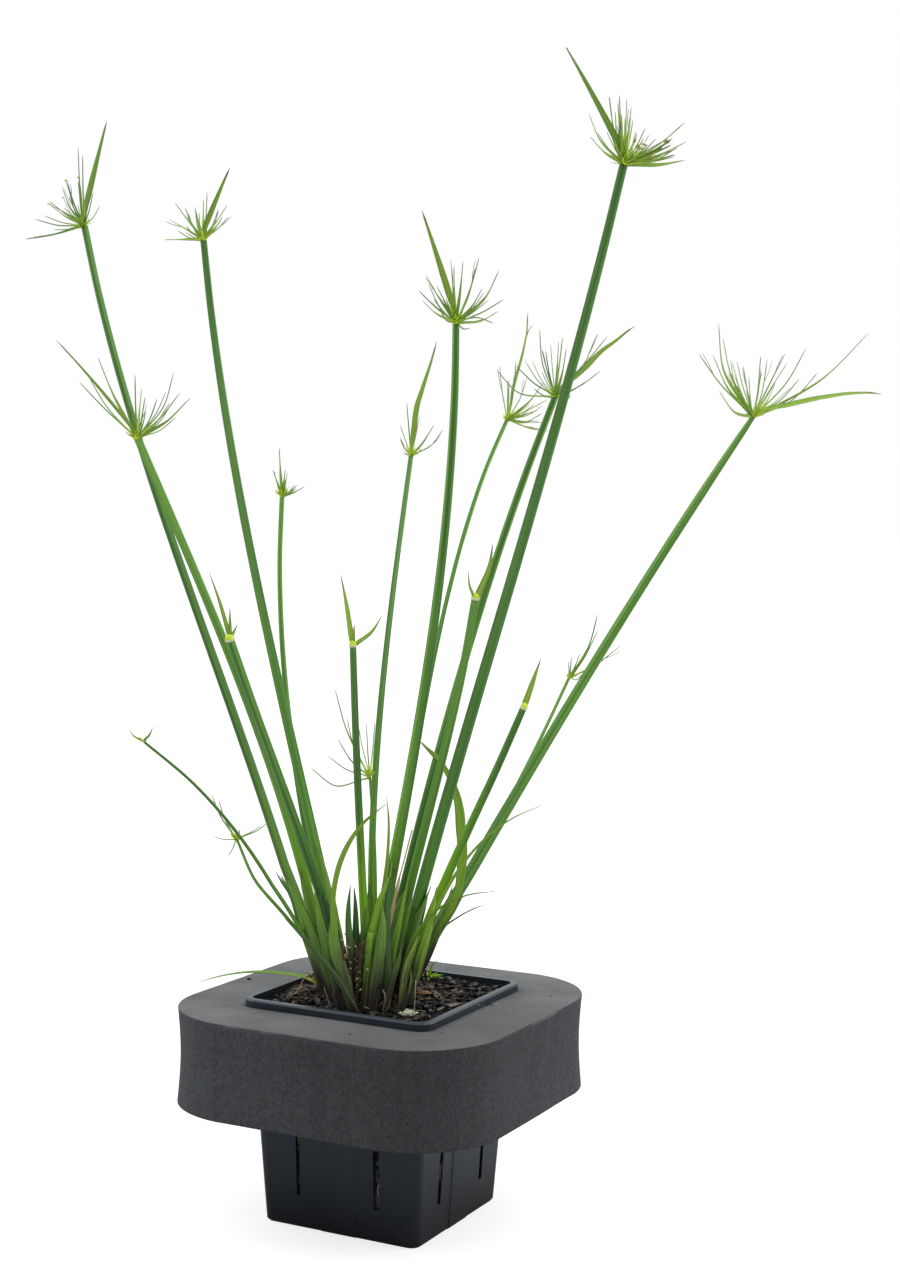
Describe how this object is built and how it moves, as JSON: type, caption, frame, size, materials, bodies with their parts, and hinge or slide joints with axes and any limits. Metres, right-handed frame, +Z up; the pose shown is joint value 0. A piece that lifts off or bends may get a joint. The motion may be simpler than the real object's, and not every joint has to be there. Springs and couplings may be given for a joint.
{
  "type": "potted pond plant",
  "caption": "Potted dwarf papyrus: slender rayed stems growing from bark mulch in a square slotted pond pot held in a foam float.",
  "frame": {"origin": "centre of the pot's flat underside", "axes": "+Z up along the pot's upright axis; X and Y square to the pot's walls, with -Y and +X toward the viewer of the picture"},
  "size_m": [0.4405, 0.2932, 0.5846],
  "materials": {
    "black_plastic": "satin moulded",
    "grey_foam": "matte closed-cell foam",
    "wet_bark": "damp, rough",
    "rhizome": "fibrous",
    "stem_green": "smooth, finely ribbed",
    "ray_green": "smooth",
    "leaf_green": "smooth leaf",
    "dry_leaf": "dry, papery",
    "chip_pale": "dry, rough"
  },
  "bodies": {
    "root": {"pot": "black_plastic", "foam_float": "grey_foam", "bark_mulch": "wet_bark", "crown": "rhizome", "stem_01": "stem_green", "stem_02": "stem_green", "stem_03": "stem_green", "stem_04": "stem_green", "stem_05": "stem_green", "stem_06": "stem_green", "stem_07": "stem_green", "stem_08": "stem_green", "stem_09": "stem_green", "stem_10": "stem_green", "stem_11": "stem_green", "stem_12": "stem_green", "stem_13": "stem_green", "stem_14": "stem_green", "stem_15": "stem_green", "stem_16": "stem_green", "stem_17": "stem_green", "stem_18": "stem_green", "head_01": "ray_green", "head_02": "ray_green", "head_03": "ray_green", "head_04": "ray_green", "head_05": "ray_green", "head_06": "ray_green", "head_07": "ray_green", "head_08": "ray_green", "head_09": "ray_green", "head_10": "ray_green", "head_11": "ray_green", "head_12": "ray_green", "head_13": "ray_green", "head_14": "ray_green", "head_15": "ray_green", "head_16": "ray_green", "head_17": "ray_green", "head_18": "ray_green", "bract_01": "leaf_green", "bract_02": "leaf_green", "bract_04": "leaf_green", "bract_10": "leaf_green", "bract_11": "leaf_green", "bract_13": "leaf_green", "bract_15": "leaf_green", "bract_17": "leaf_green", "bract_18": "leaf_green", "leaf_arched": "leaf_green", "leaf_tall_right": "leaf_green", "leaf_long_right": "leaf_green", "leaf_low_right": "leaf_green", "leaf_lowest_right": "leaf_green", "leaf_upright": "leaf_green", "leaf_on_float": "leaf_green", "leaf_dead": "dry_leaf", "cut_stub": "stem_green", "seedling": "ray_green", "pale_chip": "chip_pale"}
  },
  "joints": []
}
